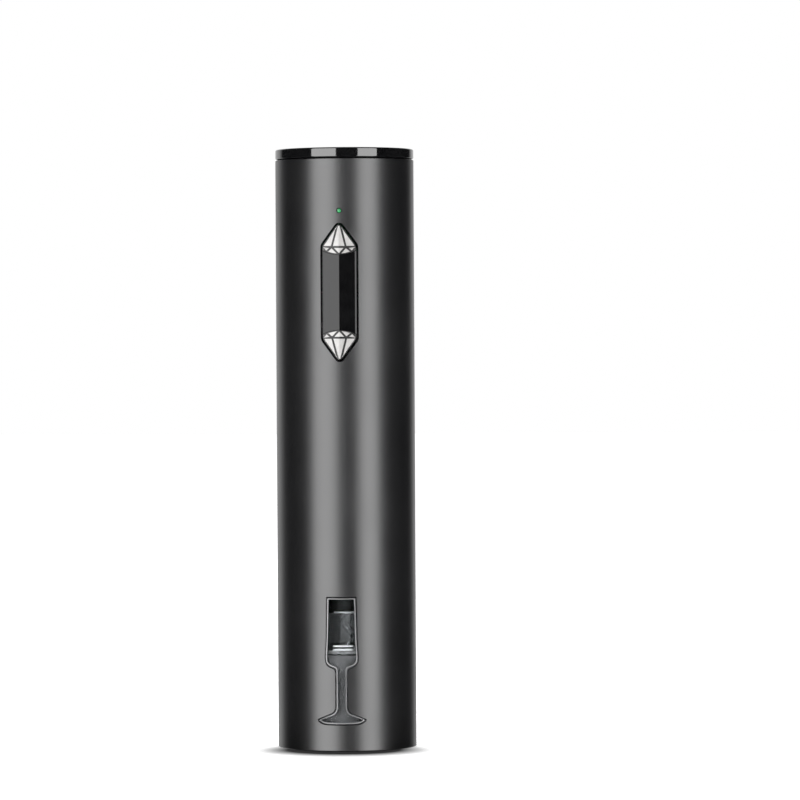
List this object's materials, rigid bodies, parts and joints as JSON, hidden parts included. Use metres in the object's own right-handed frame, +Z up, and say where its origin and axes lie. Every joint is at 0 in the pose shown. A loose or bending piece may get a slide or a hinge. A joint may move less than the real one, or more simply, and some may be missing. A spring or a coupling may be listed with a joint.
{
  "type": "electric wine opener",
  "caption": "Upright cordless electric wine opener: black tube, gloss cap, rocker button with white faceted ends, and a glass-shaped window onto a motor-fed corkscrew.",
  "frame": {"origin": "centre of the open mouth, on the surface the opener stands on", "axes": "+Z up the tube's axis; the rocker button and the window face -Y, the charging socket +Y"},
  "size_m": [0.049, 0.0498, 0.2112],
  "materials": {
    "satin_black": "satin black anodised tube",
    "gloss_black": "piano black",
    "smoke_grey": "satin smoke grey",
    "clear": "clear polycarbonate",
    "black_nylon": "moulded black nylon",
    "grey_acetal": "moulded grey acetal",
    "steel": "machined",
    "chrome": "polished",
    "brass": "turned",
    "copper": "enamelled copper on a laminated core",
    "ferrite": "sintered ferrite",
    "board_green": "solder mask",
    "cell_blue": "shrink sleeve over a steel can",
    "pearl_white": "faceted white moulding",
    "led_green": "green light",
    "lead_red": "soft insulation",
    "lead_black": "soft insulation"
  },
  "bodies": {
    "housing": {"outer_sleeve": "satin_black", "top_cap": "gloss_black", "flute_window": "clear", "neck_guide": "smoke_grey", "cork_chamber": "clear", "thread_sleeve": "grey_acetal", "output_bush": "brass", "gearbox_ring_gear": "grey_acetal", "motor_plate": "steel", "motor_can": "steel", "motor_end_bell": "black_nylon", "motor_magnet_front": "ferrite", "motor_magnet_rear": "ferrite", "front_frame": "black_nylon", "rear_frame": "black_nylon", "frame_screw_1": "steel", "frame_screw_2": "steel", "frame_screw_3": "steel", "frame_screw_4": "steel", "rocker_pivot_pin": "steel", "switch_bezel": "gloss_black", "tact_switch_upper": "black_nylon", "tact_switch_lower": "black_nylon", "main_board": "board_green", "charge_board": "board_green", "usb_socket": "steel", "status_led": "led_green", "led_light_pipe": "clear", "battery_cell": "cell_blue", "battery_cradle": "black_nylon", "battery_lead_red": "lead_red", "battery_lead_black": "lead_black", "motor_lead_red": "lead_red", "motor_lead_black": "lead_black"},
    "rotor": {"motor_shaft": "steel", "motor_armature": "copper", "motor_pinion": "brass"},
    "stage_1": {"stage_1_carrier": "steel"},
    "stage_2": {"stage_2_carrier": "steel"},
    "drive": {"output_carrier": "steel", "drive_tube": "steel"},
    "worm": {"worm_carriage": "steel", "follower_pin_left": "steel", "follower_pin_right": "steel", "corkscrew_worm": "chrome"},
    "floating_guide": {"worm_guide": "black_nylon"},
    "rocker": {"rocker_button": "gloss_black", "diamond_inlay_upper": "pearl_white", "diamond_inlay_lower": "pearl_white"},
    "plunger_upper": {"tact_plunger_upper": "black_nylon"},
    "plunger_lower": {"tact_plunger_lower": "black_nylon"},
    "wheel_1_planet_1": {"stage_1_planet_1": "grey_acetal"},
    "wheel_1_planet_2": {"stage_1_planet_2": "grey_acetal"},
    "wheel_1_planet_3": {"stage_1_planet_3": "grey_acetal"},
    "wheel_2_planet_1": {"stage_2_planet_1": "grey_acetal"},
    "wheel_2_planet_2": {"stage_2_planet_2": "grey_acetal"},
    "wheel_2_planet_3": {"stage_2_planet_3": "grey_acetal"},
    "wheel_3_planet_1": {"stage_3_planet_1": "steel"},
    "wheel_3_planet_2": {"stage_3_planet_2": "steel"},
    "wheel_3_planet_3": {"stage_3_planet_3": "steel"}
  },
  "joints": [
    {"name": "rocker_tilt", "type": "hinge", "parent": "housing", "child": "rocker", "pos_m": [0, -0.019, 0.1604], "axis": [1, 0, 0], "range_deg": [-2.2, 2.2], "stiffness_Nm_per_rad": 0.05},
    {"name": "tact_upper_press", "type": "slide", "parent": "housing", "child": "plunger_upper", "axis": [0, 1, 0], "range_m": [-0.0003, 0.0003]},
    {"name": "tact_lower_press", "type": "slide", "parent": "housing", "child": "plunger_lower", "axis": [0, 1, 0], "range_m": [-0.0003, 0.0003]},
    {"name": "motor_spin", "type": "hinge", "parent": "housing", "child": "rotor", "pos_m": [0, 0, 0.165], "axis": [0, 0, -1], "range_deg": [0, 76800]},
    {"name": "stage_1_spin", "type": "hinge", "parent": "housing", "child": "stage_1", "pos_m": [0, 0, 0.1419], "axis": [0, 0, -1], "range_deg": [0, 19200]},
    {"name": "stage_2_spin", "type": "hinge", "parent": "housing", "child": "stage_2", "pos_m": [0, 0, 0.135], "axis": [0, 0, -1], "range_deg": [0, 4800]},
    {"name": "drive_spin", "type": "hinge", "parent": "housing", "child": "drive", "pos_m": [0, 0, 0.1], "axis": [0, 0, -1], "range_deg": [0, 1200]},
    {"name": "worm_feed", "type": "slide", "parent": "drive", "child": "worm", "axis": [0, 0, -1], "range_m": [0, 0.0401]},
    {"name": "worm_guide_rise", "type": "slide", "parent": "housing", "child": "floating_guide", "axis": [0, 0, 1], "range_m": [0, 0.02]},
    {"name": "stage_1_planet_1_spin", "type": "hinge", "parent": "stage_1", "child": "wheel_1_planet_1", "pos_m": [0, 0.0084, 0.14565], "axis": [0, 0, -1], "range_deg": [-57600, 0]},
    {"name": "stage_1_planet_2_spin", "type": "hinge", "parent": "stage_1", "child": "wheel_1_planet_2", "pos_m": [-0.00727, -0.0042, 0.14565], "axis": [0, 0, -1], "range_deg": [-57600, 0]},
    {"name": "stage_1_planet_3_spin", "type": "hinge", "parent": "stage_1", "child": "wheel_1_planet_3", "pos_m": [0.00727, -0.0042, 0.14565], "axis": [0, 0, -1], "range_deg": [-57600, 0]},
    {"name": "stage_2_planet_1_spin", "type": "hinge", "parent": "stage_2", "child": "wheel_2_planet_1", "pos_m": [0, 0.0084, 0.13875], "axis": [0, 0, -1], "range_deg": [-14400, 0]},
    {"name": "stage_2_planet_2_spin", "type": "hinge", "parent": "stage_2", "child": "wheel_2_planet_2", "pos_m": [-0.00727, -0.0042, 0.13875], "axis": [0, 0, -1], "range_deg": [-14400, 0]},
    {"name": "stage_2_planet_3_spin", "type": "hinge", "parent": "stage_2", "child": "wheel_2_planet_3", "pos_m": [0.00727, -0.0042, 0.13875], "axis": [0, 0, -1], "range_deg": [-14400, 0]},
    {"name": "stage_3_planet_1_spin", "type": "hinge", "parent": "drive", "child": "wheel_3_planet_1", "pos_m": [0, 0.0084, 0.13185], "axis": [0, 0, -1], "range_deg": [-3600, 0]},
    {"name": "stage_3_planet_2_spin", "type": "hinge", "parent": "drive", "child": "wheel_3_planet_2", "pos_m": [-0.00727, -0.0042, 0.13185], "axis": [0, 0, -1], "range_deg": [-3600, 0]},
    {"name": "stage_3_planet_3_spin", "type": "hinge", "parent": "drive", "child": "wheel_3_planet_3", "pos_m": [0.00727, -0.0042, 0.13185], "axis": [0, 0, -1], "range_deg": [-3600, 0]}
  ],
  "couplings": [
    {"joint": "tact_upper_press", "follows": "rocker_tilt", "m_per_rad": -0.0075},
    {"joint": "tact_lower_press", "follows": "rocker_tilt", "m_per_rad": 0.0075},
    {"joint": "stage_1_spin", "follows": "motor_spin", "ratio": 0.25},
    {"joint": "stage_2_spin", "follows": "motor_spin", "ratio": 0.0625},
    {"joint": "drive_spin", "follows": "motor_spin", "ratio": 0.015625},
    {"joint": "worm_feed", "follows": "motor_spin", "m_per_rad": 0.000029842},
    {"joint": "stage_1_planet_1_spin", "follows": "motor_spin", "ratio": -0.75},
    {"joint": "stage_1_planet_2_spin", "follows": "motor_spin", "ratio": -0.75},
    {"joint": "stage_1_planet_3_spin", "follows": "motor_spin", "ratio": -0.75},
    {"joint": "stage_2_planet_1_spin", "follows": "motor_spin", "ratio": -0.1875},
    {"joint": "stage_2_planet_2_spin", "follows": "motor_spin", "ratio": -0.1875},
    {"joint": "stage_2_planet_3_spin", "follows": "motor_spin", "ratio": -0.1875},
    {"joint": "stage_3_planet_1_spin", "follows": "motor_spin", "ratio": -0.046875},
    {"joint": "stage_3_planet_2_spin", "follows": "motor_spin", "ratio": -0.046875},
    {"joint": "stage_3_planet_3_spin", "follows": "motor_spin", "ratio": -0.046875}
  ]
}
